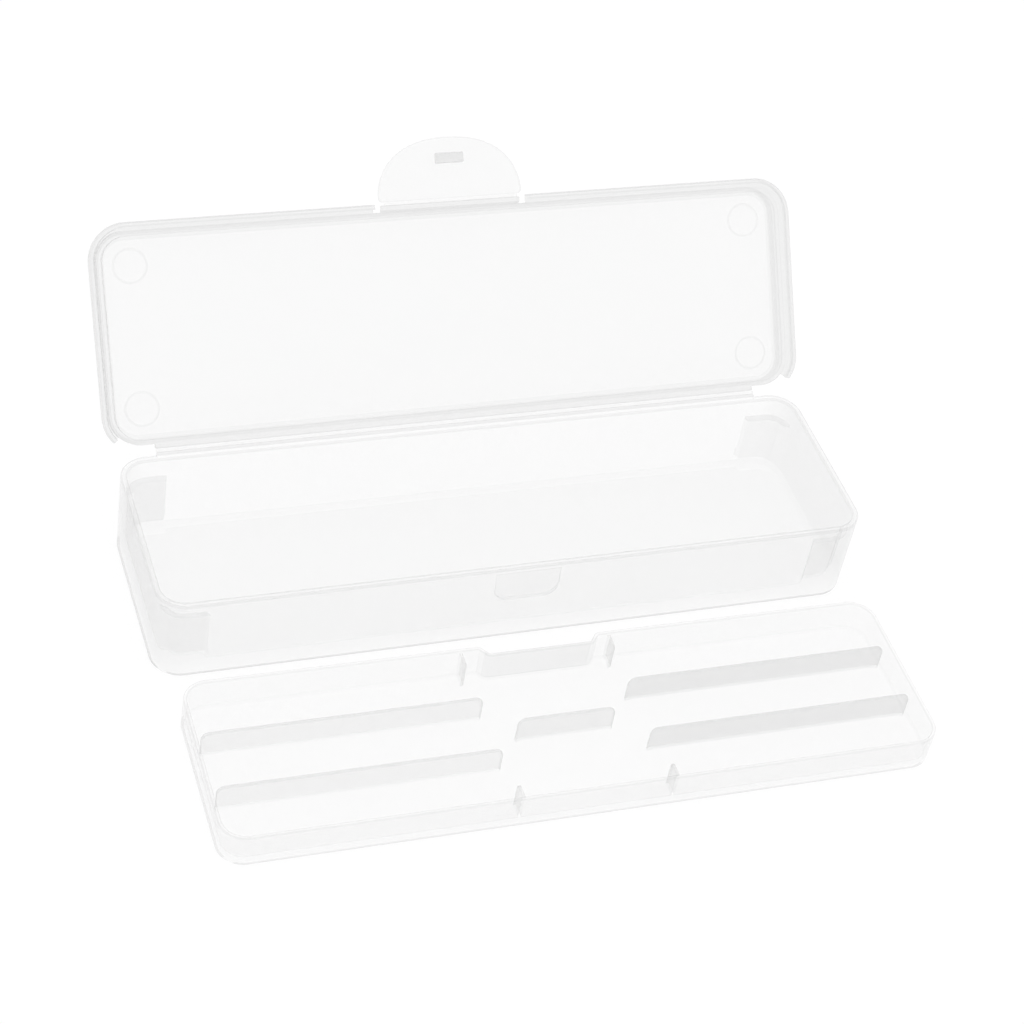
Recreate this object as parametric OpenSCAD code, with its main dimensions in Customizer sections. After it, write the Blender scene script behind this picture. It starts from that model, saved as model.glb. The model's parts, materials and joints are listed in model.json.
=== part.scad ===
// Long brush box: a shallow base with a hinged lid, a snap flap and a divided tray that lifts out.
// X runs along the box, +Y towards the rear hinge, +Z up. The origin is the centre of the underside.
// The lid stands open, the flap is in line with it, and the tray stands in front of the box.

/* [Base] */
// Length over the rim
base_l = 200; // [150:1:300]
// Width over the rim
base_w = 57.8; // [48:0.2:100]
// Height of the rim
base_h = 26.1; // [22:0.1:50]
// Corner radius in plan
base_r = 8.2; // [8:0.1:14]
// Thickness of the walls
base_wall = 1.8; // [1.2:0.1:2.4]
// Thickness of the floor
base_floor = 2.3; // [1:0.1:3]
// Inner radius where the walls meet the floor
floor_fillet = 3; // [1:0.5:4]
// Outer radius along the bottom edge
foot_round = 0.8; // [0.4:0.1:2]

/* [Corner ledges] */
// How far the ledges that carry the tray stand out from the walls
ledge_d = 2; // [1.5:0.1:3]
// Reach of a ledge along the long wall
ledge_x = 12.7; // [9:0.1:25]
// Reach of a ledge along the short wall
ledge_y = 6.8; // [6:0.1:12]

/* [Lid] */
// Angle from closed at which the lid stands
lid_open = 127.5; // [90:0.5:180]
// Clear depth inside the lid
lid_depth = 4.4; // [3:0.1:8]
// Thickness of the lid's panel
lid_panel = 1.2; // [0.8:0.1:2]
// Thickness of the lid's wall
lid_wall = 1.5; // [1:0.1:1.8]
// Radius along the lid's upper edge
lid_round = 1; // [0.3:0.1:1.4]
// Air between the lid's wall and the rim when the lid is closed
seat_gap = 0.2; // [0.1:0.05:0.4]
// Distance of the four moulded rings from the ends of the lid
ring_x = 9.6; // [8:0.1:20]
// Distance of the rings from the long sides of the lid
ring_y = 9.5; // [8:0.1:14]
// Outer radius of a ring
ring_r = 5; // [3:0.1:6]
// Width of a ring
ring_w = 0.8; // [0.5:0.1:2]
// Height of a ring
ring_h = 0.3; // [0.2:0.05:0.4]

/* [Lip of the lid] */
// Air between the base's wall and the lip
lip_gap = 1; // [0.6:0.05:2]
// Thickness of the lip
lip_t = 1.35; // [0.8:0.05:2]
// How far the lip hangs below the lid's wall
lip_drop = 2; // [1:0.1:3]
// Thickness of the flange that carries the lip
lip_flange = 1.2; // [0.8:0.1:2]
// Distance from the rear hinge's axis to the ends of the lip
lip_end = 3.5; // [3:0.1:10]
// Width of the opening in the lip at the latch
lip_window = 44.8; // [43.4:0.1:60]

/* [Rear hinge] */
// Distance from the corner's curve to the end of the hinge
hinge_end = 3.3; // [0:0.1:30]
// Distance of the axis behind the base's wall
hinge_reach = 1.7; // [1.4:0.05:2.5]
// Radius of the bent film on each hinge's axis
film_r = 0.35; // [0.25:0.05:0.5]
// Running clearance round the film
film_gap = 0.05; // [0.02:0.01:0.1]
// Thickness of the film's flat root
film_t = 0.3; // [0.2:0.05:0.35]
// Thickness of the lands beside the hinges
land_t = 1.2; // [0.8:0.1:2]
// Drop of the base's land below the rim
land_drop = 0.1; // [0:0.05:0.15]

/* [Latch] */
// Width of the flap at its root
latch_w = 42; // [30:0.2:42.8]
// Length of the flap from its hinge axis
latch_len = 17.4; // [15:0.1:19]
// Thickness of the flap
latch_t = 1.2; // [0.8:0.1:1.6]
// Fullness of the flap's curve, where 2 is an ellipse
latch_full = 2.3; // [2:0.1:3]
// Distance of the latch's axis in front of the base's wall
latch_reach = 2.3; // [2.1:0.05:3]
// Drop of the latch's axis below the end of the lid's wall
latch_drop = 0.9; // [0.6:0.05:1]
// Air between the inner face of the flap and the axis
latch_offset = 0.1; // [0:0.05:0.15]
// Width of the latch's hinge
latch_hinge_w = 39; // [20:0.5:40]
// Width of the nub inside the flap
nub_w = 8; // [4:0.2:14]
// Distance from the latch's axis to the nub
nub_place = 10.1; // [8:0.1:11]
// Length of the nub along the flap
nub_l = 3; // [2:0.1:4]
// Air between the nub and the base's wall when latched
nub_gap = 0.3; // [0.2:0.05:0.5]

/* [Catch on the front wall] */
// Width of the catch
catch_w = 18.4; // [14:0.2:28]
// Radius of its lower corners
catch_r = 4; // [2:0.2:6]
// Depth of the catch at its lower edge
catch_d = 1.3; // [0.8:0.05:1.5]
// Depth of the catch at its upper edge
catch_thin = 0.3; // [0.2:0.05:0.6]
// Distance from the rim to the catch's upper edge
catch_top = 1.2; // [1.1:0.1:3]
// Air between the nub and the catch's lower edge when latched
catch_gap = 0.2; // [0.1:0.05:0.5]

/* [Tray] */
// Height of the tray
tray_h = 10.2; // [7:0.1:14]
// Thickness of the tray's wall
tray_wall = 1.1; // [0.8:0.1:1.6]
// Thickness of the tray's floor
tray_floor = 1.6; // [0.8:0.1:2]
// Air between the tray and the base's short walls
tray_end_gap = 0.5; // [0.4:0.05:1.2]
// Air between the tray and the base's long walls
tray_side_gap = 0.45; // [0.4:0.05:0.9]
// Air above the tray's rim when the box is closed
tray_headroom = 0.5; // [0.4:0.1:2]
// Radius along the tray's bottom edge
tray_round = 0.6; // [0.3:0.1:1.5]
// How much rounder the tray's corners are than the base's inner ones
tray_ease = 1; // [0:0.1:2]
// Width of the finger notch at its back
notch_w = 28.6; // [20:0.2:33]
// How much wider each side of the notch is at its mouth
notch_slant = 2.2; // [1:0.1:3]
// Depth of the finger notch
notch_d = 2.9; // [2:0.1:4]

/* [Dividers of the tray] */
// Thickness of the dividers
fin_t = 1; // [0.7:0.1:1.5]
// How far the dividers stay below the tray's rim
fin_drop = 0.5; // [0.2:0.1:2]
// Radius of the dividers' upper corners
fin_r = 2.3; // [1:0.1:3]
// Distance of the long dividers from the middle line
fin_y = 9; // [6:0.1:11]
// Distance from the middle to the inner ends of the long dividers
fin_x = 20.4; // [18:0.1:30]
// Gap between the long dividers and the short walls
fin_end_gap = 1.2; // [0.8:0.1:6]
// Length of the short divider in the middle
mid_fin_l = 27; // [16:0.5:32]
// Distance of the cross plates from the middle
plate_x = 21; // [18.5:0.1:40]
// Thickness of the cross plates
plate_t = 0.9; // [0.7:0.1:1.5]
// How far the cross plates stand out from the long walls
plate_d = 4.6; // [3:0.1:6]
// Radius of the cross plates' upper corner
plate_r = 1; // [0.5:0.1:2]

/* [Where the tray stands] */
// Gap between the tray and the base
stand_gap = 11.65; // [5:0.05:60]
// Sideways place of the tray's centre
tray_x = 0.8; // [-20:0.1:20]
// Turn of the tray about the vertical
tray_turn = -0.4; // [-2:0.1:2]

/* [Hidden] */
$fn = 64;
// Overlap that joins solids of one piece
bite = 0.3;
// Height that reaches past anything in the part
beyond = 200;
// Number of points along the flap's curve
flap_steps = 40;

inner_l = base_l - 2 * base_wall;
inner_w = base_w - 2 * base_wall;
inner_r = base_r - base_wall;

// Closed, the end of the lid's wall lies on this height, and the hinge bends halfway below it
seat_z = base_h + seat_gap;
hinge_y = base_w / 2 + hinge_reach;
hinge_z = base_h + seat_gap / 2;
hinge_l = base_l - 2 * (base_r + hinge_end);
film_clear = film_r + film_gap;

lid_top_z = seat_z + lid_depth + lid_panel;
lip_out = lip_gap + lip_t;

latch_y = -(base_w / 2 + latch_reach);
latch_z = seat_z - latch_drop;
latch_land_w = latch_w - 2 * film_clear;
nub_h = latch_reach + latch_offset - nub_gap;
catch_top_z = base_h - catch_top;
catch_low_z = latch_z - nub_place + catch_gap;

tray_l = inner_l - 2 * tray_end_gap;
tray_w = inner_w - 2 * tray_side_gap;
tray_r = inner_r - tray_side_gap + tray_ease;
tray_seat_z = seat_z + lid_depth - tray_headroom - tray_h;
tray_y = -(base_w / 2 + stand_gap + tray_w / 2);
fin_top = tray_h - fin_drop;
fin_out = tray_l / 2 - tray_wall - fin_end_gap;

PLASTIC = [0.93, 0.94, 0.95];
FILM = [0.98, 0.98, 0.99];
TRAY = [0.86, 0.89, 0.92];

// Rounded rectangle about the origin
module plan(l, w, r) {
    square([l - 2 * r, w], center = true);
    square([l, w - 2 * r], center = true);
    for (x = [-1, 1], y = [-1, 1])
        translate([x * (l / 2 - r), y * (w / 2 - r)]) circle(r);
}

// Rounded foot at a corner of a pan, turned about the corner's axis, with a collar that reaches up into the pan
module pan_corner(r, f) {
    rotate_extrude() {
        square([r - f, f + bite]);
        translate([0, f]) square([r, bite]);
        intersection() {
            translate([r - f, f]) circle(f);
            square([r, f]);
        }
    }
}

// Block of height h with a rounded rectangle as its plan and a radius f along its bottom edge
module pan(l, w, r, h, f) {
    translate([0, 0, f]) linear_extrude(h - f) plan(l, w, r);
    linear_extrude(f + bite) plan(l - 2 * f, w - 2 * f, r - f);
    for (y = [-1, 1])
        translate([0, y * (w / 2 - f), f]) rotate([0, 90, 0]) cylinder(h = l - 2 * r, r = f, center = true);
    for (x = [-1, 1])
        translate([x * (l / 2 - f), 0, f]) rotate([90, 0, 0]) cylinder(h = w - 2 * r, r = f, center = true);
    for (x = [-1, 1], y = [-1, 1])
        translate([x * (l / 2 - r), y * (w / 2 - r), 0]) pan_corner(r, f);
}

// Upright fin in the XZ plane with both upper corners rounded
module fin(x0, x1, top, t, r) {
    rotate([90, 0, 0]) linear_extrude(t, center = true) {
        translate([x0, 0]) square([x1 - x0, top - r]);
        translate([x0 + r, 0]) square([x1 - x0 - 2 * r, top]);
        for (x = [x0 + r, x1 - r]) translate([x, top - r]) circle(r);
    }
}

// Four thick corners inside the base, cut off level to carry the tray
module corner_ledges() {
    intersection() {
        translate([0, 0, base_floor - bite]) linear_extrude(tray_seat_z - base_floor + bite)
            difference() {
                plan(inner_l + bite, inner_w + bite, inner_r);
                plan(inner_l - 2 * ledge_d, inner_w - 2 * ledge_d, inner_r - ledge_d);
            }
        for (x = [-1, 1], y = [-1, 1])
            translate([x * (inner_l / 2 - ledge_x / 2 + bite), y * (inner_w / 2 - ledge_y / 2 + bite), 0])
                linear_extrude(base_h) square([ledge_x + 2 * bite, ledge_y + 2 * bite], center = true);
    }
}

// Wedge on the front wall, deepest at its rounded lower edge, where the nub hooks in
module front_catch() {
    rise = catch_top_z - catch_low_z;
    intersection() {
        translate([0, -base_w / 2, 0]) rotate([90, 0, 90]) linear_extrude(catch_w, center = true)
            polygon([[bite, catch_low_z], [-catch_d, catch_low_z], [-catch_thin, catch_top_z], [bite, catch_top_z]]);
        translate([0, -base_w / 2 + bite, catch_low_z]) rotate([90, 0, 0]) linear_extrude(catch_d + 2 * bite) {
            translate([-catch_w / 2, catch_r]) square([catch_w, rise]);
            translate([-catch_w / 2 + catch_r, 0]) square([catch_w - 2 * catch_r, rise]);
            for (x = [-1, 1]) translate([x * (catch_w / 2 - catch_r), catch_r]) circle(catch_r);
        }
    }
}

// Strip behind the rear wall that carries the hinge film
module base_land() {
    low = base_h - land_drop - land_t;
    translate([-hinge_l / 2, base_w / 2 - bite, low])
        cube([hinge_l, hinge_reach - film_clear + bite, land_t]);
}

module base_shell() {
    color(PLASTIC) {
        difference() {
            pan(base_l, base_w, base_r, base_h, foot_round);
            translate([0, 0, base_floor]) pan(inner_l, inner_w, inner_r, base_h, floor_fillet);
        }
        corner_ledges();
        front_catch();
        base_land();
    }
}

module rear_hinge_film() {
    root = film_clear;
    color(FILM) {
        translate([0, hinge_y, hinge_z]) rotate([0, 90, 0]) cylinder(h = hinge_l, r = film_r, center = true);
        translate([-hinge_l / 2, hinge_y - root, base_h - land_drop - film_t]) cube([hinge_l, root, film_t]);
    }
}

// Turns what is drawn closed to where the open lid stands
module opened() {
    translate([0, hinge_y, hinge_z]) rotate([-lid_open, 0, 0]) translate([0, -hinge_y, -hinge_z]) children();
}

// Flange and lip round the front and the ends, open at the latch
module lip() {
    out_l = base_l + 2 * lip_out;
    out_w = base_w + 2 * lip_out;
    difference() {
        translate([0, 0, seat_z - lip_drop]) linear_extrude(lip_drop + lip_flange)
            plan(out_l, out_w, base_r + lip_out);
        translate([0, 0, seat_z - lip_drop - bite]) linear_extrude(lip_drop + bite)
            plan(base_l + 2 * lip_gap, base_w + 2 * lip_gap, base_r + lip_gap);
        translate([0, 0, seat_z - bite]) linear_extrude(lip_flange + 2 * bite)
            plan(base_l - bite, base_w - bite, base_r - bite / 2);
        translate([-beyond, hinge_y - lip_end, 0]) cube(2 * beyond);
        translate([-lip_window / 2, -beyond, 0]) cube([lip_window, beyond, beyond]);
    }
}

// Strips that carry the hinge films, one at the rear and one at the latch
module lid_lands() {
    translate([-hinge_l / 2, base_w / 2 - bite, seat_z])
        cube([hinge_l, hinge_reach - film_clear + bite, land_t]);
    front = base_w / 2 + latch_reach - film_clear;
    translate([-latch_land_w / 2, -front, seat_z]) cube([latch_land_w, front - base_w / 2 + bite, land_t]);
    translate([-latch_land_w / 2, -front, latch_z + latch_offset])
        cube([latch_land_w, front - base_w / 2 - nub_gap, seat_z - latch_z - latch_offset + bite]);
}

module rings() {
    panel_z = seat_z + lid_depth;
    for (x = [-1, 1], y = [-1, 1])
        translate([x * (base_l / 2 - ring_x), y * (base_w / 2 - ring_y), panel_z - ring_h]) difference() {
            cylinder(h = ring_h + bite, r = ring_r);
            translate([0, 0, -bite]) cylinder(h = ring_h + bite, r = ring_r - ring_w);
        }
}

module lid_shell() {
    color(PLASTIC) opened() {
        difference() {
            translate([0, 0, lid_top_z]) mirror([0, 0, 1]) pan(base_l, base_w, base_r, lid_top_z - seat_z, lid_round);
            translate([0, 0, seat_z - bite]) linear_extrude(lid_depth + bite)
                plan(base_l - 2 * lid_wall, base_w - 2 * lid_wall, base_r - lid_wall);
        }
        lip();
        lid_lands();
        rings();
    }
}

module latch_hinge_film() {
    color(FILM) opened() {
        translate([0, latch_y, latch_z]) rotate([0, 90, 0]) cylinder(h = latch_hinge_w, r = film_r, center = true);
        translate([-latch_hinge_w / 2, latch_y, latch_z + latch_offset])
            cube([latch_hinge_w, film_clear, film_t]);
    }
}

// Half of a full oval, from the hinge to the flap's tip
module flap_outline() {
    half = latch_w / 2;
    power = 2 / latch_full;
    polygon([for (i = [0 : flap_steps])
        let (a = 180 * i / flap_steps, c = cos(a), s = sin(a))
        [half * sign(c) * pow(abs(c), power), -latch_len * pow(s, power)]]);
}

module latch_flap() {
    color(PLASTIC) opened() {
        translate([0, latch_y, latch_z + latch_offset]) difference() {
            linear_extrude(latch_t) flap_outline();
            translate([-latch_w, -film_clear, -bite]) cube([2 * latch_w, latch_len, latch_t + 2 * bite]);
        }
        translate([-nub_w / 2, latch_y - nub_place - nub_l, latch_z + latch_offset - nub_h])
            cube([nub_w, nub_l, nub_h + bite]);
    }
}

// Plan of the notch, grown by a wall where the tray's inside is cut
module notch_plan(grow) {
    back = tray_w / 2 - notch_d - grow;
    half = notch_w / 2 + grow;
    polygon([[-half, back], [half, back], [half + notch_slant, tray_w / 2], [half + notch_slant, tray_w],
        [-half - notch_slant, tray_w], [-half - notch_slant, tray_w / 2]]);
}

module tray_dividers() {
    low = tray_floor - bite;
    translate([0, 0, low]) {
        for (x = [-1, 1], y = [-1, 1])
            translate([x * (fin_x + fin_out) / 2, y * fin_y, 0])
                fin(-(fin_out - fin_x) / 2, (fin_out - fin_x) / 2, fin_top - low, fin_t, fin_r);
        fin(-mid_fin_l / 2, mid_fin_l / 2, fin_top - low, fin_t, fin_r);
        for (x = [-1, 1], y = [-1, 1])
            translate([x * plate_x, y * (tray_w / 2 - tray_wall + bite), 0])
                rotate([0, 0, -90 * y]) cross_plate(fin_top - low);
    }
}

// Plate that stands out from a long wall along +X, with one rounded upper corner
module cross_plate(top) {
    reach = plate_d + bite;
    rotate([90, 0, 0]) linear_extrude(plate_t, center = true) {
        square([reach, top - plate_r]);
        square([reach - plate_r, top]);
        translate([reach - plate_r, top - plate_r]) circle(plate_r);
    }
}

module tray() {
    in_l = tray_l - 2 * tray_wall;
    in_w = tray_w - 2 * tray_wall;
    color(TRAY) translate([tray_x, tray_y, 0]) rotate([0, 0, tray_turn]) {
        difference() {
            pan(tray_l, tray_w, tray_r, tray_h, tray_round);
            translate([0, 0, tray_floor]) linear_extrude(tray_h) difference() {
                plan(in_l, in_w, tray_r - tray_wall);
                notch_plan(tray_wall);
            }
            translate([0, 0, -bite]) linear_extrude(tray_h + 2 * bite) notch_plan(0);
        }
        tray_dividers();
    }
}

base_shell();
rear_hinge_film();
lid_shell();
latch_hinge_film();
latch_flap();
tray();
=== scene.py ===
"""Looks of the brush box: frosted polypropylene shells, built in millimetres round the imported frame.

The base stands with its front wall towards -Y. The lid and the flap are drawn closed, over the base, and
are then turned about the frame's own hinge axes to where they stand open.
"""
import json
import math

import bmesh
import bpy
from mathutils import Matrix, Vector

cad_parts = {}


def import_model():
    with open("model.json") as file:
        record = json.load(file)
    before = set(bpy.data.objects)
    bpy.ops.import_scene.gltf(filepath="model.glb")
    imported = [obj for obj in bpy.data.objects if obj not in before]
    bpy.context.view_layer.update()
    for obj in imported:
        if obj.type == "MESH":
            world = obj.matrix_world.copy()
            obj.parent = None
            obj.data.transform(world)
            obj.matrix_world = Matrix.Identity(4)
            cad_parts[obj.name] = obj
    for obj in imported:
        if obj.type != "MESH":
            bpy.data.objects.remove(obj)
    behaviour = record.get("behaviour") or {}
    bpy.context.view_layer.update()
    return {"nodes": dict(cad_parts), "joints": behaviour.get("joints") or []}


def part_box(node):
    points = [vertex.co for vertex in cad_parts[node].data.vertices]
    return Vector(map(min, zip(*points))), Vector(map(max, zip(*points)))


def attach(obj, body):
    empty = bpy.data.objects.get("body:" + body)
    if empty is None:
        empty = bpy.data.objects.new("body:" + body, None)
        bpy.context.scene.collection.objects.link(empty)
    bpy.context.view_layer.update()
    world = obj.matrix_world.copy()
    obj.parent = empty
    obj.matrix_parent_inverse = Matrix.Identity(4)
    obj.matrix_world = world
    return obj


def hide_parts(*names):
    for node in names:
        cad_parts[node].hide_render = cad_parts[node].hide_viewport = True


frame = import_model()

MM = 0.001


def in_mm(point):
    """A point of the frame, in millimetres."""
    return Vector(point) / MM


def joint(name):
    """The frame's joint of that name."""
    return next(j for j in frame["joints"] if j["name"] == name)


# Base, with the length and the height as packed
BASE_LOW, BASE_HIGH = (in_mm(corner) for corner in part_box("base_shell"))
BASE_L = BASE_HIGH.x - BASE_LOW.x
BASE_H = BASE_HIGH.z
BASE_W = 57.8
BASE_R = 8.2
BASE_WALL = 1.8
BASE_FLOOR = 2.3
OUTER_DRAFT = 0.1
INNER_DRAFT = 0.2
FOOT_ROUND = 0.8
FLOOR_FILLET = 2.9
RIM_ROUND = 0.45

# Heights of the rim and foot bands, and painted shade: how dark and opaque the plastic is painted along the rim,
# the foot, the panels, the ends and the ledges, for the dark lines that light bending in rounded edges draws and
# for shade
RIM_BAND = 0.35
RIM_LINE = 0.5
FOOT_BAND = 1.3
NEAR_FOOT = 0.7
FAR_FOOT = 0.2
PANEL_SHADE = 0.18
RIGHT_END_SHADE = 0.32
LEFT_END_SHADE = 0.25

# Ledges that carry the tray
LEDGE_TOP = 20.0
LEDGE_D = 1.95
LEDGE_X = 85.6
LEDGE_Y = 20.2
LEDGE_EASE = 1.0
LEDGE_END_EASE = 3.0
# Painted shade on the ledges: their faces, their ends, the rear left ledge, the top arc and front, and the rounded
# edges that stand out of the walls
LEDGE_SHADE = 0.32
LEDGE_SIDE = 0.22
LEDGE_DARK = 0.5
LEDGE_ARC = 0.6
LEDGE_FRONT = 0.2
LAND_LINE = 0.4

# Lid, drawn closed
HINGE = in_mm(joint("lid_hinge")["pos_m"])
LID_OPEN = -joint("lid_hinge")["range_deg"][0]
SEAT_Z = HINGE.z + 0.1
LID_DEPTH = 4.4
LID_PANEL = 1.2
LID_WALL = 1.5
LID_ROUND = 1.0
LID_FILLET = 1.4
LIP_GAP = 1.0
LIP_T = 1.35
LIP_DROP = 2.0
LIP_FLANGE = 1.2
LIP_END = 3.5
LIP_WINDOW = 44.8
# Painted shade on the lid: its wall and lip, their rounded edges, and the rings
LID_BAND = 0.42
LID_LINE = 0.6
RING_SHADE = 0.4
LAND_T = 1.2
FILM_CLEAR = 0.4
HINGE_HALF = BASE_L / 2 - BASE_R - 3.3

# Latch, drawn closed and in line with the lid
LATCH_Y = -(BASE_W / 2 + 2.3)
LATCH_Z = SEAT_Z - 0.9
LATCH_OFFSET = 0.1
LATCH_T = 1.2
LATCH_W = 42.0
LATCH_LEN = 17.4
LATCH_FULL = 2.3
LATCH_HINGE_W = 39.0
NUB = (8.0, 3.0, 2.1)
NUB_PLACE = 10.1
# Painted dark line on the flap's and nub's rounded edges
FLAP_LINE = 0.3

# Catch on the front wall
CATCH_W = 18.4
CATCH_R = 4.0
CATCH_D = 1.3
CATCH_THIN = 0.3
CATCH_TOP = BASE_H - 1.2
CATCH_LOW = LATCH_Z - NUB_PLACE + 0.2

# Tray, drawn about its own centre
TRAY_LOW, TRAY_HIGH = (in_mm(corner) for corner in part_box("tray"))
TRAY_CENTRE = (TRAY_LOW + TRAY_HIGH) / 2
TRAY_TURN = math.radians(-0.4)
TRAY_L = 195.4
TRAY_W = 53.3
TRAY_H = TRAY_HIGH.z
TRAY_R = 6.95
TRAY_WALL = 1.1
TRAY_FLOOR = 1.6
NOTCH_HALF = 14.3
NOTCH_SLANT = 2.2
NOTCH_D = 2.9
# Painted shade on the tray: its rounded edges, its flat faces, and the dividers, darker towards the right
TRAY_LINE = 0.5
TRAY_PANEL = 0.1
FIN_SHADE = 0.4
FIN_SHADE_RISE = 0.2
FIN_LINE = 0.7
FIN_T = 1.0
FIN_TOP = TRAY_H - 0.5
FIN_R = 2.3
FIN_Y = 9.0
FIN_IN = 20.4
FIN_OUT = TRAY_L / 2 - TRAY_WALL - 1.2
MID_FIN_HALF = 13.5
PLATE_X = 21.0
PLATE_T = 0.9
PLATE_D = 4.6
PLATE_R = 1.0


# Outlines: lists of (point, outward normal) in the XY plane, counter-clockwise

def straight(a, b, count):
    """Stations from a to b, without b, with the normal on the right-hand side."""
    a, b = Vector(a), Vector(b)
    along = (b - a).normalized()
    normal = Vector((along.y, -along.x))
    return [(a.lerp(b, i / count), normal) for i in range(count)]


def bend(centre, radius, start, turn, count):
    """Stations round a corner, without the last. A negative turn is a hollow corner."""
    centre = Vector(centre)
    sign = 1 if turn > 0 else -1
    stations = []
    for i in range(count):
        angle = math.radians(start + turn * i / count)
        out = Vector((math.cos(angle), math.sin(angle)))
        stations.append((centre + out * radius, out * sign))
    return stations


def rounded_plan(length, width, radius, long_count=40, short_count=12, corner_count=14):
    """Rounded rectangle that starts at the front end of its right side."""
    x, y = length / 2 - radius, width / 2 - radius
    return (
        straight((length / 2, -y), (length / 2, y), short_count)
        + bend((x, y), radius, 0, 90, corner_count)
        + straight((x, width / 2), (-x, width / 2), long_count)
        + bend((-x, y), radius, 90, 90, corner_count)
        + straight((-length / 2, y), (-length / 2, -y), short_count)
        + bend((-x, -y), radius, 180, 90, corner_count)
        + straight((-x, -width / 2), (x, -width / 2), long_count)
        + bend((x, -y), radius, 270, 90, corner_count)
    )


def quarter(inset, z, radius, start, turn, count=5):
    """Points (inset, z) of a rounded edge in a profile, both ends included."""
    points = []
    for i in range(count + 1):
        angle = math.radians(start + turn * i / count)
        points.append((inset + radius * math.cos(angle), z + radius * math.sin(angle)))
    return points


def outside(place, length, width, radius):
    """Distance of a point in plan from a rounded rectangle, less than 0 inside."""
    over_x = max(abs(place.x) - length / 2 + radius, 0)
    over_y = max(abs(place.y) - width / 2 + radius, 0)
    return math.hypot(over_x, over_y) - radius


# Meshes

def lofted(rings, closed=True, capped=True):
    """Vertices and faces of a skin over rings of equal length."""
    count = len(rings[0])
    vertices = [Vector(p) for ring in rings for p in ring]
    faces = []
    last = count if closed else count - 1
    for r in range(len(rings) - 1):
        for i in range(last):
            j = (i + 1) % count
            a, b = r * count, (r + 1) * count
            faces.append((a + i, a + j, b + j, b + i))
    if capped:
        faces.append(tuple(reversed(range(count))))
        faces.append(tuple(range((len(rings) - 1) * count, len(rings) * count)))
    return vertices, faces


def ring_at(plan, inset, z):
    """The plan's outline moved inwards, at height z."""
    return [(p.x - n.x * inset, p.y - n.y * inset, z) for p, n in plan]


def turned_solid(plan, profile, margin=0.3):
    """Solid whose skin follows profile, a list of (inset, z), with a flat margin before each cap."""
    (first, first_z), (last, last_z) = profile[0], profile[-1]
    profile = [(first + margin, first_z)] + profile + [(last + margin, last_z)]
    return lofted([ring_at(plan, inset, z) for inset, z in profile])


def swept_solid(path, section):
    """Solid with a closed section of (outset, z) along an open path, with end caps."""
    rings = [[(p.x + n.x * out, p.y + n.y * out, z) for out, z in section] for p, n in path]
    return lofted(rings)


def block(low, high, radius, segments=3, taper=0.0):
    """Box with rounded edges. The taper draws in its lower face."""
    shape = bmesh.new()
    bmesh.ops.create_cube(shape, size=1)
    low, high = Vector(low), Vector(high)
    middle, size = (low + high) / 2, high - low
    for vertex in shape.verts:
        bottom = vertex.co.z < 0
        vertex.co = middle + Vector(c * s for c, s in zip(vertex.co, size))
        if bottom and taper:
            vertex.co.x += taper if vertex.co.x < middle.x else -taper
            vertex.co.y += taper if vertex.co.y < middle.y else -taper
    bmesh.ops.bevel(shape, geom=shape.edges[:], offset=radius, segments=segments, profile=0.5, affect="EDGES")
    vertices = [v.co.copy() for v in shape.verts]
    faces = [tuple(v.index for v in f.verts) for f in shape.faces]
    shape.free()
    return vertices, faces


def slab(outline, thickness, radius, count=3):
    """Plate in the XY plane between z = 0 and thickness, with rounded edges. outline is a list of stations."""
    profile = [(radius - p, z) for p, z in quarter(0, radius, radius, 270, 90, count)]
    profile += [(radius - p, z) for p, z in quarter(0, thickness - radius, radius, 0, 90, count)]
    return turned_solid(outline, profile)


def with_normals(points):
    """Stations from a closed counter-clockwise list of points, with mitred normals."""
    stations = []
    for i, point in enumerate(points):
        before, after = points[i - 1], points[(i + 1) % len(points)]
        along = (Vector(after) - Vector(before)).normalized()
        stations.append((Vector(point), Vector((along.y, -along.x))))
    return stations


def moved(shape, matrix):
    """The same shape with its vertices moved."""
    vertices, faces = shape
    return [matrix @ v for v in vertices], faces


def solid_object(name, shape):
    """Closed solid in millimetres with its normals outwards."""
    vertices, faces = shape
    mesh = bpy.data.meshes.new(name)
    mesh.from_pydata(vertices, [], faces)
    edit = bmesh.new()
    edit.from_mesh(mesh)
    bmesh.ops.remove_doubles(edit, verts=edit.verts[:], dist=0.0001)
    bmesh.ops.recalc_face_normals(edit, faces=edit.faces[:])
    edit.to_mesh(mesh)
    edit.free()
    made = bpy.data.objects.new(name, mesh)
    bpy.context.scene.collection.objects.link(made)
    return made


def evaluated_mesh(source):
    """The source's mesh with its modifiers applied."""
    bpy.context.view_layer.update()
    graph = bpy.context.evaluated_depsgraph_get()
    return bpy.data.meshes.new_from_object(source.evaluated_get(graph))


def close_slits(mesh):
    """Fills the few thin triangles that fusing leaves open."""
    edit = bmesh.new()
    edit.from_mesh(mesh)
    bmesh.ops.holes_fill(edit, edges=[edge for edge in edit.edges if len(edge.link_faces) == 1], sides=4)
    bmesh.ops.recalc_face_normals(edit, faces=edit.faces[:])
    edit.to_mesh(mesh)
    edit.free()


def tight_round(face, narrow=0.7, sharpest=40, least=25):
    """True on a rounded edge: a narrow face, in mm, whose two neighbours turn by least degrees together."""
    width = face.calc_area() / max(edge.calc_length() for edge in face.edges)
    turns = [math.degrees(edge.calc_face_angle(0)) for edge in face.edges]
    return width < narrow and sum(sorted(t for t in turns if t < sharpest)[-2:]) > least


def mark_painted_shade(mesh, painted_shade_of):
    """Stores on each face, in its depth attribute, how much painted shade it gets, from 0 to 1, as the given
    function of the face's place and roundness gives it.
    """
    edit = bmesh.new()
    edit.from_mesh(mesh)
    share = edit.faces.layers.float.new("depth")
    for face in edit.faces:
        face[share] = painted_shade_of(face.calc_center_median(), tight_round(face))
    edit.to_mesh(mesh)
    edit.free()


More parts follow.
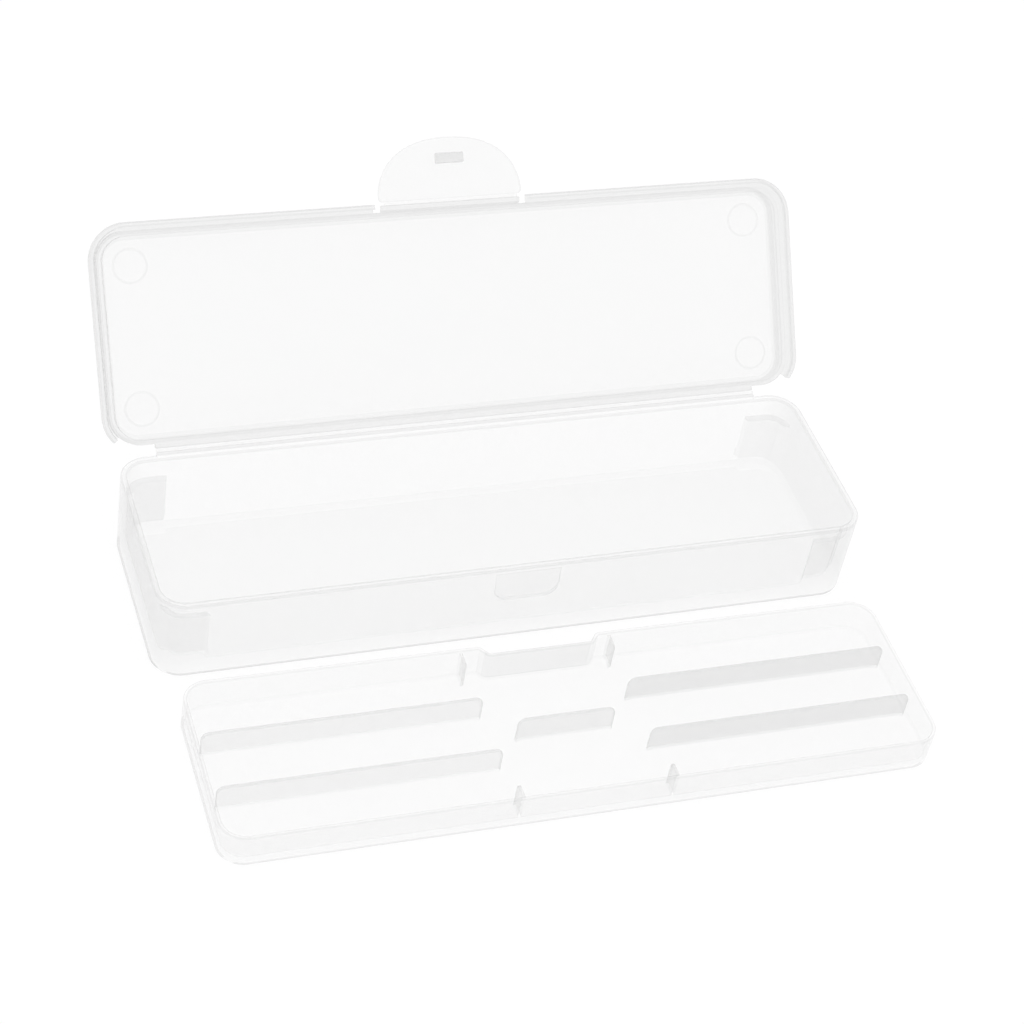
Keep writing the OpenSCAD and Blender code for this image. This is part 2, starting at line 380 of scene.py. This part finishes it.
def piece(name, shapes, material, painted_shade_of, smooth_angle=35):
    """One object in metres, fused from overlapping shapes in millimetres."""
    parts = [solid_object(f"{name}_{i}", shape) for i, shape in enumerate(shapes)]
    for part in parts[1:]:
        join = parts[0].modifiers.new("join", "BOOLEAN")
        join.operation = "UNION"
        join.solver = "EXACT"
        join.object = part
    mesh = evaluated_mesh(parts[0])
    for part in parts:
        bpy.data.objects.remove(part)
    close_slits(mesh)
    mesh.shade_smooth()
    mesh.set_sharp_from_angle(angle=math.radians(smooth_angle))
    rough = bpy.data.objects.new(name, mesh)
    bpy.context.scene.collection.objects.link(rough)
    even = rough.modifiers.new("even", "WEIGHTED_NORMAL")
    even.keep_sharp = True
    mesh = evaluated_mesh(rough)
    bpy.data.objects.remove(rough)
    mark_painted_shade(mesh, painted_shade_of)
    mesh.transform(Matrix.Scale(MM, 4))
    mesh.materials.append(material)
    made = bpy.data.objects.new(name, mesh)
    bpy.context.scene.collection.objects.link(made)
    return made


def near_side(place, length, width):
    """True at the front and at the left end, where the foot of a wall is painted with a darker line of shade."""
    return place.y < 1.5 - width / 2 or place.x < 1.5 - length / 2


# Materials

def frosted(name, colour, edge, alpha, shade_alpha, cloudy, grain=1.0):
    """Clear polypropylene: faintly cloudy all through, with haze and a fine skin, and with painted shade: each
    face's depth attribute paints it towards the edge grey and more opaque, standing in for the dark lines that
    light bending in rounded edges draws and for shade.

    The two alphas say how much of the light the flat faces and the fully shaded faces hold back. edge is the
    painted shade's grey. cloudy is what the inside takes, per metre.
    """
    material = bpy.data.materials.new(name)
    material.use_nodes = True
    tree = material.node_tree
    shader = tree.nodes["Principled BSDF"]
    shader.inputs["IOR"].default_value = 1.49
    shader.inputs["Specular IOR Level"].default_value = 0.25
    place = tree.nodes.new("ShaderNodeTexCoord").outputs["Object"]

    def noise(scale, detail, stretch=(1, 1, 1)):
        mapping = tree.nodes.new("ShaderNodeMapping")
        mapping.inputs["Scale"].default_value = stretch
        tree.links.new(place, mapping.inputs["Vector"])
        texture = tree.nodes.new("ShaderNodeTexNoise")
        texture.inputs["Scale"].default_value = scale
        texture.inputs["Detail"].default_value = detail
        tree.links.new(mapping.outputs["Vector"], texture.inputs["Vector"])
        return texture.outputs["Fac"]

    def ramp(source, low, high):
        node = tree.nodes.new("ShaderNodeValToRGB")
        node.color_ramp.elements[0].position = 0.3
        node.color_ramp.elements[1].position = 0.7
        node.color_ramp.elements[0].color = low
        node.color_ramp.elements[1].color = high
        tree.links.new(source, node.inputs["Fac"])
        return node.outputs["Color"]

    # Painted shade: the face's depth attribute mixes the colour towards the dark grey and raises the alpha, for
    # dark edge lines and shade
    depth = tree.nodes.new("ShaderNodeAttribute")
    depth.attribute_name = "depth"
    clouds = noise(22, 3, (1, 2.5, 2.5))
    darker = tuple(c * 0.97 for c in colour)
    mix = tree.nodes.new("ShaderNodeMix")
    mix.data_type = "RGBA"
    tree.links.new(depth.outputs["Fac"], mix.inputs["Factor"])
    tree.links.new(ramp(clouds, (*darker, 1), (*colour, 1)), mix.inputs["A"])
    mix.inputs["B"].default_value = (*edge, 1)
    tree.links.new(mix.outputs["Result"], shader.inputs["Base Color"])
    cover = tree.nodes.new("ShaderNodeMapRange")
    cover.inputs["To Min"].default_value = alpha
    cover.inputs["To Max"].default_value = shade_alpha
    tree.links.new(depth.outputs["Fac"], cover.inputs["Value"])
    tree.links.new(cover.outputs["Result"], shader.inputs["Alpha"])
    inside = tree.nodes.new("ShaderNodeVolumeAbsorption")
    inside.inputs["Color"].default_value = (0, 0, 0, 1)
    inside.inputs["Density"].default_value = cloudy
    tree.links.new(inside.outputs["Volume"], tree.nodes["Material Output"].inputs["Volume"])
    haze = noise(160 * grain, 4, (1, 1.6, 1.6))
    tree.links.new(ramp(haze, (0.30,) * 3 + (1,), (0.42,) * 3 + (1,)), shader.inputs["Roughness"])
    bump = tree.nodes.new("ShaderNodeBump")
    bump.inputs["Strength"].default_value = 0.12
    bump.inputs["Distance"].default_value = 0.00008
    tree.links.new(noise(420 * grain, 5), bump.inputs["Height"])
    tree.links.new(bump.outputs["Normal"], shader.inputs["Normal"])
    return material


# Dark grey painted on rounded edges and shaded faces, as painted shade
EDGE_SHADE_GREY = (0.3, 0.3, 0.3)
SHELL = frosted("frosted_shell", (0.94, 0.94, 0.94), EDGE_SHADE_GREY, 0.05, 0.3, 4.5)
TRAY_PLASTIC = frosted("frosted_tray", (0.95, 0.95, 0.95), EDGE_SHADE_GREY, 0.05, 0.25, 4.5)
THICK = frosted("frosted_thick", (0.86, 0.86, 0.86), EDGE_SHADE_GREY, 0.23, 0.28, 4.5)
FILM_PLASTIC = frosted("flexed_film", (0.96, 0.96, 0.96), EDGE_SHADE_GREY, 0.15, 0.25, 4.5, 2.0)


# Base

def ledge_share(point):
    """1 in the corners that carry the tray, 0 along the open walls, with a short ease between."""
    along_x = (abs(point.x) - LEDGE_X) / LEDGE_EASE
    along_y = (abs(point.y) - LEDGE_Y) / LEDGE_END_EASE
    share = min(max(min(along_x, along_y), 0), 1)
    return share * share * (3 - 2 * share)


def base_plan():
    """Plan of the base with stations close together where the ledges begin."""
    x, y = BASE_L / 2 - BASE_R, BASE_W / 2 - BASE_R
    stops = [LEDGE_X + LEDGE_EASE * t for t in (1.4, 1, 0.75, 0.5, 0.25, 0, -0.4)]
    long_side = [x] + stops + [80 - 8 * i for i in range(1, 20)] + [-s for s in reversed(stops)] + [-x]
    radius = BASE_R
    right = [(Vector((BASE_L / 2, v)), Vector((1, 0))) for v in
             [-y + y * i / 8 for i in range(16)]]
    rear = [(Vector((v, BASE_W / 2)), Vector((0, 1))) for v in long_side[:-1]]
    half = right + bend((x, y), radius, 0, 90, 28) + rear + bend((-x, y), radius, 90, 90, 28)
    return half + [(-p, -n) for p, n in half]


def base_painted_shade(place, rounded):
    """Painted shade on the base: rim, foot and ledges are painted as dark lines, and the ledges and the ends
    darker, as shade.
    """
    reach = -outside(place, BASE_L, BASE_W, BASE_R)
    if reach < -0.15:
        return LAND_LINE if rounded else PANEL_SHADE
    if place.z > BASE_H - RIM_ROUND - RIM_BAND:
        on_top = BASE_WALL - RIM_ROUND > reach > RIM_ROUND
        return 0.0 if on_top else RIM_LINE
    if place.z < FOOT_BAND and reach < 1:
        return NEAR_FOOT if near_side(place, BASE_L, BASE_W) else FAR_FOOT
    if place.z < BASE_FLOOR + 0.1:
        return PANEL_SHADE
    if reach > BASE_WALL + 0.3 and place.z > BASE_FLOOR + FLOOR_FILLET:
        if place.z > LEDGE_TOP - 0.45:
            return LEDGE_ARC if place.y > 0 else LEDGE_FRONT
        if 0.1 < ledge_share(place) < 0.9:
            return LEDGE_SIDE
        return LEDGE_DARK if place.x < 0 < place.y else LEDGE_SHADE
    # Painted shade that grows into each end wall over its corner, more at the right end
    end = (abs(place.x) - BASE_L / 2) / BASE_R + 1
    return max(end, 0) * (RIGHT_END_SHADE if place.x > 0 else LEFT_END_SHADE)


def base_shell():
    plan = base_plan()
    rings = []

    def ring(inset, z, ledge=0.0):
        rings.append([
            (p.x - n.x * (inset + ledge * ledge_share(p)), p.y - n.y * (inset + ledge * ledge_share(p)), z)
            for p, n in plan
        ])

    ring(FOOT_ROUND + OUTER_DRAFT + 0.5, 0)
    for inset, z in quarter(FOOT_ROUND, FOOT_ROUND, FOOT_ROUND, 270, -90):
        ring(inset + OUTER_DRAFT, z)
    low, high = FOOT_BAND, BASE_H - RIM_ROUND - RIM_BAND
    for step in range(8):
        z = low + (high - low) * step / 7
        ring(OUTER_DRAFT * (1 - z / BASE_H), z)
    for inset, z in quarter(RIM_ROUND, BASE_H - RIM_ROUND, RIM_ROUND, 180, -90):
        ring(inset, z)
    for inset, z in quarter(BASE_WALL - RIM_ROUND, BASE_H - RIM_ROUND, RIM_ROUND, 90, -90):
        ring(inset, z)
    ring(BASE_WALL + 0.01, BASE_H - RIM_ROUND - RIM_BAND)
    ring(BASE_WALL + 0.03, LEDGE_TOP + 0.5)
    ring(BASE_WALL + 0.04, LEDGE_TOP + 0.02)
    ring(BASE_WALL + 0.05, LEDGE_TOP, LEDGE_D - 0.4)
    ring(BASE_WALL + 0.05, LEDGE_TOP - 0.12, LEDGE_D - 0.12)
    ring(BASE_WALL + 0.06, LEDGE_TOP - 0.4, LEDGE_D)
    wall = BASE_WALL + INNER_DRAFT
    low = BASE_FLOOR + FLOOR_FILLET
    for step in range(1, 5):
        ring(BASE_WALL + INNER_DRAFT * step / 5, LEDGE_TOP - 0.4 - (LEDGE_TOP - 0.4 - low) * step / 5, LEDGE_D)
    for inset, z in quarter(wall + FLOOR_FILLET, low, FLOOR_FILLET, 180, 90, 8):
        ring(inset, z, LEDGE_D)
    ring(wall + FLOOR_FILLET + 0.5, BASE_FLOOR, LEDGE_D)
    return lofted(rings)


def catch():
    """Wedge on the front wall with two rounded lower corners, its back sunk into the wall."""
    half, rise = CATCH_W / 2, CATCH_TOP - CATCH_LOW
    outline = [(half, rise - 2), (half, rise), (-half, rise)]
    outline += [(-half + CATCH_R + CATCH_R * math.cos(a), CATCH_R + CATCH_R * math.sin(a))
                for a in (math.radians(180 + 9 * i) for i in range(11))]
    outline += [(half - CATCH_R + CATCH_R * math.cos(a), CATCH_R + CATCH_R * math.sin(a))
                for a in (math.radians(270 + 9 * i) for i in range(11))]
    outline = [(x, z) for x, z in outline]
    stations = with_normals([Vector(p) for p in outline])
    rings = []
    for inset, share in ((0.0, -0.35), (0.0, 0.0), (0.0, 0.75), (0.1, 0.93), (0.35, 1.0)):
        ring = []
        for p, n in stations:
            x, z = p.x - n.x * inset, p.y - n.y * inset
            depth = CATCH_D + (CATCH_THIN - CATCH_D) * max(min(z / rise, 1), 0)
            wall = -BASE_W / 2 + OUTER_DRAFT * (1 - (z + CATCH_LOW) / BASE_H)
            ring.append((x, wall - depth * share if share > 0 else wall - share, z + CATCH_LOW))
        rings.append(ring)
    return lofted(rings)


def base_land():
    high = BASE_H - 0.1
    return block(
        (-HINGE_HALF, BASE_W / 2 - 0.5, high - LAND_T),
        (HINGE_HALF, HINGE.y - FILM_CLEAR, high),
        0.25,
    )


# Lid

def opened():
    """Turns what is drawn closed to where the lid stands."""
    turn = Matrix.Rotation(math.radians(-LID_OPEN), 4, "X")
    return Matrix.Translation(HINGE) @ turn @ Matrix.Translation(-HINGE)


def lid_painted_shade(place, rounded):
    """Painted shade on the lid: its wall and lip, seen along their height, are painted darker."""
    drawn = opened().inverted() @ place
    if outside(drawn, BASE_L, BASE_W, BASE_R) > -LID_WALL - 0.1:
        return LID_LINE if rounded else LID_BAND
    return RING_SHADE if rounded else PANEL_SHADE


def lid_pan():
    top = SEAT_Z + LID_DEPTH + LID_PANEL
    under = SEAT_Z + LID_DEPTH
    profile = quarter(LID_ROUND, top - LID_ROUND, LID_ROUND, 90, 90)
    profile += [(0, SEAT_Z + 2.4)]
    profile += quarter(0.3, SEAT_Z + 0.3, 0.3, 180, 90, 3)
    profile += quarter(LID_WALL - 0.3, SEAT_Z + 0.3, 0.3, 270, 90, 3)
    profile += quarter(LID_WALL + LID_FILLET, under - LID_FILLET, LID_FILLET, 180, -90, 6)
    return turned_solid(rounded_plan(BASE_L, BASE_W, BASE_R), profile)


def lip_path(side):
    """Stations of one half of the lip, from its rear end round to the latch."""
    x, y = BASE_L / 2 - BASE_R, BASE_W / 2 - BASE_R
    middle = BASE_R + LIP_GAP + LIP_T / 2
    end = math.degrees(math.asin((HINGE.y - LIP_END - y) / middle))
    path = bend((x, y), BASE_R, end, -end, 8)
    path = [(p, -n) for p, n in path]
    path += [(Vector((BASE_L / 2, y - 2 * y * i / 8)), Vector((1, 0))) for i in range(8)]
    corner = bend((x, -y), BASE_R, 0, -90, 14)
    path += [(p, -n) for p, n in corner]
    stop = LIP_WINDOW / 2
    path += [(Vector((x + (stop - x) * i / 10, -BASE_W / 2)), Vector((0, -1))) for i in range(11)]
    return [(Vector((side * p.x, p.y)), Vector((side * n.x, n.y))) for p, n in path]


def lip_section():
    """Closed section of flange and lip as (outset, z)."""
    out = LIP_GAP + LIP_T
    top, low = SEAT_Z + LIP_FLANGE, SEAT_Z - LIP_DROP
    section = [(-0.4, SEAT_Z + 0.05), (LIP_GAP, SEAT_Z + 0.05)]
    section += [(LIP_GAP + 0.4 - 0.4 * math.cos(a), low + 0.4 - 0.4 * math.sin(a))
                for a in (math.radians(22.5 * i) for i in range(5))]
    section += [(out - 0.4 + 0.4 * math.sin(a), low + 0.4 - 0.4 * math.cos(a))
                for a in (math.radians(22.5 * i) for i in range(5))]
    section += [(out - 0.5 + 0.5 * math.cos(a), top - 0.5 + 0.5 * math.sin(a))
                for a in (math.radians(22.5 * i) for i in range(5))]
    return section + [(-0.4, top)]


def lid_lands():
    front = -(LATCH_Y + FILM_CLEAR)
    half = LATCH_W / 2 - 2 * FILM_CLEAR
    rear = block(
        (-HINGE_HALF, BASE_W / 2 - 0.5, SEAT_Z + 0.02),
        (HINGE_HALF, HINGE.y - FILM_CLEAR, SEAT_Z + LAND_T),
        0.25,
    )
    latch = block(
        (-half, -front, LATCH_Z + LATCH_OFFSET),
        (half, -BASE_W / 2 - 0.35, SEAT_Z + LAND_T),
        0.25,
    )
    bridge = block((-half, -BASE_W / 2 - 0.8, SEAT_Z + 0.1), (half, -BASE_W / 2 + 0.4, SEAT_Z + LAND_T), 0.2)
    return [rear, latch, bridge]


def lid_rings():
    """Low rings on the inner face of the panel, near the corners."""
    radius, width, height = 5.0, 0.8, 0.3
    rings = []
    for x in (-1, 1):
        for y in (-1, 1):
            centre = Vector((x * (BASE_L / 2 - 9.6), y * (BASE_W / 2 - 9.5), 0))
            circle = bend((0, 0), radius, 0, 360, 48)
            face = SEAT_Z + LID_DEPTH
            section = [(0, face + 0.1), (0.12, face - 0.18), (0.3, face - height), (width - 0.3, face - height),
                       (width - 0.12, face - 0.18), (width, face + 0.1)]
            loops = [ring_at(circle, inset, z) for inset, z in section]
            loops.append(loops[0])
            vertices, faces = lofted(loops, capped=False)
            rings.append(([v + centre for v in vertices], faces))
    return rings


# Latch

def flap_outline():
    """Half of a full oval from its root to its tip, counter-clockwise, with small round corners at the root."""
    half, power, corner = LATCH_W / 2, 2 / LATCH_FULL, 1.4
    root = LATCH_Y - FILM_CLEAR
    points = []
    for i in range(61):
        angle = math.pi + math.pi * i / 60
        c, s = math.cos(angle), math.sin(angle)
        y = LATCH_Y - LATCH_LEN * abs(s) ** power
        if y < root - corner:
            points.append(Vector((half * math.copysign(abs(c) ** power, c), y)))
    right, left = points[-1].x, points[0].x
    for i in range(5):
        angle = math.radians(22.5 * i)
        points.append(Vector((right - corner + corner * math.cos(angle), root - corner + corner * math.sin(angle))))
    for i in range(1, 30):
        share = i / 30
        points.append(Vector((right - corner + (left - right + 2 * corner) * share, root)))
    for i in range(4):
        angle = math.radians(90 + 22.5 * i)
        points.append(Vector((left + corner + corner * math.cos(angle), root - corner + corner * math.sin(angle))))
    return with_normals(points)


# Painted shade on the flap and the nub: dark lines on the rounded edges, faint shade on the flat faces
def flap_painted_shade(place, rounded):
    return FLAP_LINE if rounded else PANEL_SHADE


def latch_plate():
    return moved(slab(flap_outline(), LATCH_T, 0.35), Matrix.Translation((0, 0, LATCH_Z + LATCH_OFFSET)))


def latch_nub():
    """Solid nub on the flap's inner face, drawn as a piece of its own because it looks denser."""
    width, length, height = NUB
    far = LATCH_Y - NUB_PLACE - length
    face = LATCH_Z + LATCH_OFFSET
    return block((-width / 2, far, face - height), (width / 2, far + length, face + 0.05), 0.3, taper=0.15)


# Tray

def tray_plan():
    """Rounded rectangle with a slanted finger notch in its rear side, counter-clockwise."""
    x, y = TRAY_L / 2 - TRAY_R, TRAY_W / 2 - TRAY_R
    rear, back = TRAY_W / 2, TRAY_W / 2 - NOTCH_D
    lean = math.degrees(math.atan2(NOTCH_D, NOTCH_SLANT))
    mouth, foot = 1.95, 0.8
    reach_mouth = mouth * math.tan(math.radians(lean / 2))
    reach_foot = foot * math.tan(math.radians(lean / 2))
    slope = Vector((-NOTCH_SLANT, -NOTCH_D)).normalized()
    rise = Vector((-NOTCH_SLANT, NOTCH_D)).normalized()
    corner_right = Vector((NOTCH_HALF + NOTCH_SLANT, rear))
    corner_left = Vector((-NOTCH_HALF - NOTCH_SLANT, rear))
    foot_right, foot_left = Vector((NOTCH_HALF, back)), Vector((-NOTCH_HALF, back))
    plan = straight((TRAY_L / 2, -y), (TRAY_L / 2, y), 12)
    plan += bend((x, y), TRAY_R, 0, 90, 14)
    plan += straight((x, rear), (corner_right.x + reach_mouth, rear), 20)
    plan += bend((corner_right.x + reach_mouth, rear - mouth), mouth, 90, lean, 6)
    plan += straight(corner_right + slope * reach_mouth, foot_right - slope * reach_foot, 2)
    plan += bend((NOTCH_HALF - reach_foot, back + foot), foot, -90 + lean, -lean, 5)
    plan += straight((NOTCH_HALF - reach_foot, back), (-NOTCH_HALF + reach_foot, back), 14)
    plan += bend((-NOTCH_HALF + reach_foot, back + foot), foot, -90, -lean, 5)
    plan += straight(foot_left + rise * reach_foot, corner_left - rise * reach_mouth, 2)
    plan += bend((corner_left.x - reach_mouth, rear - mouth), mouth, 90 - lean, lean, 6)
    plan += straight((corner_left.x - reach_mouth, rear), (-x, rear), 20)
    plan += bend((-x, y), TRAY_R, 90, 90, 14)
    plan += straight((-TRAY_L / 2, y), (-TRAY_L / 2, -y), 12)
    plan += bend((-x, -y), TRAY_R, 180, 90, 14)
    plan += straight((-x, -rear), (x, -rear), 48)
    plan += bend((x, -y), TRAY_R, 270, 90, 14)
    return plan


def tray_shell():
    edge, fillet, rim = 0.55, 0.5, 0.35
    profile = quarter(edge, edge, edge, 270, -90)
    profile += [(0, TRAY_H / 2)]
    profile += quarter(rim, TRAY_H - rim, rim, 180, -90, 4)
    profile += quarter(TRAY_WALL - rim, TRAY_H - rim, rim, 90, -90, 4)
    profile += [(TRAY_WALL, TRAY_H / 2)]
    profile += quarter(TRAY_WALL + fillet, TRAY_FLOOR + fillet, fillet, 180, 90, 4)
    return turned_solid(tray_plan(), profile)


def fin_outline(x0, x1, top, radius, square_start=False):
    """Outline of an upright fin as (along, up), counter-clockwise, its foot sunk into the floor."""
    foot = TRAY_FLOOR - 0.2
    count = round((x1 - x0) / 1.6)
    points = [Vector((x0 + (x1 - x0) * i / count, foot)) for i in range(count + 1)]
    points += [Vector((x1 - radius + radius * math.cos(a), top - radius + radius * math.sin(a)))
               for a in (math.radians(11.25 * i) for i in range(9))]
    if square_start:
        points.append(Vector((x0, top)))
    else:
        points += [Vector((x0 + radius - radius * math.sin(a), top - radius + radius * math.cos(a)))
                   for a in (math.radians(11.25 * i) for i in range(9))]
    return with_normals(points)


def fins():
    """Five long dividers and four cross plates."""
    made = []
    upright = Matrix.Rotation(math.radians(90), 4, "X")
    long_fin = slab(fin_outline(FIN_IN, FIN_OUT, FIN_TOP, FIN_R), FIN_T, 0.3)
    for x in (1, -1):
        for y in (FIN_Y, -FIN_Y):
            place = Matrix.Translation((0, y + FIN_T / 2, 0)) @ upright
            made.append(moved(long_fin, Matrix.Scale(x, 4, (1, 0, 0)) @ place))
    mid_fin = slab(fin_outline(-MID_FIN_HALF, MID_FIN_HALF, FIN_TOP, FIN_R), FIN_T, 0.3)
    made.append(moved(mid_fin, Matrix.Translation((0, FIN_T / 2, 0)) @ upright))
    plate = slab(fin_outline(-0.3, PLATE_D, FIN_TOP, PLATE_R, square_start=True), PLATE_T, 0.28)
    wall = TRAY_W / 2 - TRAY_WALL
    for x in (PLATE_X, -PLATE_X):
        for y in (1, -1):
            spin = Matrix.Rotation(math.radians(-90 * y), 4, "Z")
            place = Matrix.Translation((x - y * PLATE_T / 2, y * wall, 0))
            made.append(moved(plate, place @ spin @ upright))
    return made


def tray_painted_shade(place, rounded):
    """Painted shade on the tray: its edges are painted as dark lines, and the dividers painted darker towards the
    right.
    """
    drawn = tray_place().inverted() @ place
    reach = -outside(drawn, TRAY_L, TRAY_W, TRAY_R)
    if reach > TRAY_WALL + 0.7 and drawn.z > TRAY_FLOOR + 0.3:
        return FIN_LINE if rounded else FIN_SHADE + FIN_SHADE_RISE * drawn.x / (TRAY_L / 2)
    if drawn.z < 1 and reach < 1:
        return NEAR_FOOT if near_side(drawn, TRAY_L, TRAY_W) else FAR_FOOT
    if rounded:
        return TRAY_LINE if drawn.z > TRAY_H / 2 else FAR_FOOT
    return TRAY_PANEL


def tray_place():
    return Matrix.Translation((TRAY_CENTRE.x, TRAY_CENTRE.y, 0)) @ Matrix.Rotation(TRAY_TURN, 4, "Z")


def build_box():
    """Makes every piece and hands it to its body."""
    base = piece("base_shell_skin", [base_shell(), catch(), base_land()], SHELL, base_painted_shade)
    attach(base, "base")
    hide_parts("base_shell")

    turn = opened()
    shapes = [lid_pan(), swept_solid(lip_path(1), lip_section()), swept_solid(lip_path(-1), lip_section())]
    shapes += lid_lands() + lid_rings()
    lid = piece("lid_shell_skin", [moved(shape, turn) for shape in shapes], SHELL, lid_painted_shade)
    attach(lid, "lid")
    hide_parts("lid_shell")

    flap = piece("latch_flap_skin", [moved(latch_plate(), turn)], SHELL, flap_painted_shade)
    nub = piece("latch_nub_skin", [moved(latch_nub(), turn)], THICK, flap_painted_shade)
    for part in (flap, nub):
        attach(part, "latch")
        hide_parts("latch_flap")

    shapes = [moved(shape, tray_place()) for shape in [tray_shell()] + fins()]
    tray = piece("tray_skin", shapes, TRAY_PLASTIC, tray_painted_shade)
    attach(tray, "tray")
    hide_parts("tray")

    for name in ("rear_hinge_film", "latch_hinge_film"):
        node = frame["nodes"][name]
        node.data.materials.clear()
        node.data.materials.append(FILM_PLASTIC)


# Stage

def camera():
    """Camera fitted to the photograph, taken as 1024 by 1024."""
    place = Vector((-219.69, -476.45, 497.17)) * MM
    yaw, pitch, roll = (math.radians(a) for a in (25.28, -42.26, 11.30))
    focal_px, frame_px, sensor = 2574.51, 1024, 36
    forward = Vector((math.sin(yaw) * math.cos(pitch), math.cos(yaw) * math.cos(pitch), math.sin(pitch)))
    level = forward.cross(Vector((0, 0, 1))).normalized()
    upright = level.cross(forward)
    right = level * math.cos(roll) + upright * math.sin(roll)
    up = upright * math.cos(roll) - level * math.sin(roll)
    data = bpy.data.cameras.new("camera")
    data.sensor_width = sensor
    data.lens = focal_px * sensor / frame_px
    data.clip_start = 0.01
    made = bpy.data.objects.new("camera", data)
    bpy.context.scene.collection.objects.link(made)
    axes = Matrix((right, up, -forward)).transposed()
    made.matrix_world = Matrix.Translation(place) @ axes.to_4x4()
    bpy.context.scene.camera = made


def seen_white(tree, kind, lit, share, strength):
    """Mixes plain white over a lit shader for what the camera sees directly, in gloss or through glass."""
    path = tree.nodes.new("ShaderNodeLightPath")
    glossy = tree.nodes.new("ShaderNodeMath")
    glossy.operation = "MAXIMUM"
    tree.links.new(path.outputs["Is Camera Ray"], glossy.inputs[0])
    tree.links.new(path.outputs["Is Glossy Ray"], glossy.inputs[1])
    seen = tree.nodes.new("ShaderNodeMath")
    seen.operation = "MAXIMUM"
    tree.links.new(glossy.outputs[0], seen.inputs[0])
    tree.links.new(path.outputs["Is Transmission Ray"], seen.inputs[1])
    amount = tree.nodes.new("ShaderNodeMath")
    amount.operation = "MULTIPLY"
    amount.inputs[1].default_value = share
    tree.links.new(seen.outputs[0], amount.inputs[0])
    white = tree.nodes.new(kind)
    white.inputs["Color"].default_value = (1, 1, 1, 1)
    white.inputs["Strength"].default_value = strength
    mix = tree.nodes.new("ShaderNodeMixShader")
    tree.links.new(amount.outputs[0], mix.inputs["Fac"])
    tree.links.new(lit, mix.inputs[1])
    tree.links.new(white.outputs[0], mix.inputs[2])
    return mix.outputs[0]


def floor():
    material = bpy.data.materials.new("pale_floor")
    material.use_nodes = True
    tree = material.node_tree
    shader = tree.nodes["Principled BSDF"]
    shader.inputs["Base Color"].default_value = (0.86, 0.86, 0.86, 1)
    shader.inputs["Roughness"].default_value = 0.9
    output = tree.nodes["Material Output"]
    white = seen_white(tree, "ShaderNodeEmission", shader.outputs[0], 0.8, 1.05)
    tree.links.new(white, output.inputs["Surface"])
    mesh = bpy.data.meshes.new("floor")
    size, level = 4.0, -0.0003
    corners = [(-size, -size, level), (size, -size, level), (size, size, level), (-size, size, level)]
    mesh.from_pydata(corners, [], [(0, 1, 2, 3)])
    mesh.materials.append(material)
    made = bpy.data.objects.new("floor", mesh)
    bpy.context.scene.collection.objects.link(made)


def world():
    sky = bpy.data.worlds.new("soft_world")
    bpy.context.scene.world = sky
    sky.use_nodes = True
    tree = sky.node_tree
    light = tree.nodes["Background"]
    light.inputs["Strength"].default_value = 0.95
    height = tree.nodes.new("ShaderNodeSeparateXYZ")
    tree.links.new(tree.nodes.new("ShaderNodeTexCoord").outputs["Generated"], height.inputs[0])
    sky_ramp = tree.nodes.new("ShaderNodeValToRGB")
    sky_ramp.color_ramp.elements[0].position = 0.1
    sky_ramp.color_ramp.elements[0].color = (0.7, 0.7, 0.7, 1)
    sky_ramp.color_ramp.elements[1].position = 0.7
    sky_ramp.color_ramp.elements[1].color = (1, 1, 1, 1)
    tree.links.new(height.outputs["Z"], sky_ramp.inputs["Fac"])
    tree.links.new(sky_ramp.outputs["Color"], light.inputs["Color"])
    white = seen_white(tree, "ShaderNodeBackground", light.outputs[0], 1.0, 1.0)
    tree.links.new(white, tree.nodes["World Output"].inputs["Surface"])


def lamp(name, place, aim, size, watts):
    """Soft square lamp."""
    data = bpy.data.lights.new(name, "AREA")
    data.size = size
    data.energy = watts
    made = bpy.data.objects.new(name, data)
    made.location = place
    made.rotation_euler = (Vector(aim) - Vector(place)).to_track_quat("-Z", "Y").to_euler()
    bpy.context.scene.collection.objects.link(made)


def stage():
    camera()
    floor()
    world()
    lamp("key", (-0.3, -0.5, 1.6), (0, 0, 0), 2.0, 4)
    bpy.context.scene.view_settings.view_transform = "Standard"
    # A line of sight crosses more clear walls than Blender's eight, and would end in black
    bpy.context.scene.cycles.transparent_max_bounces = 48


build_box()
stage()

bpy.context.view_layer.update()
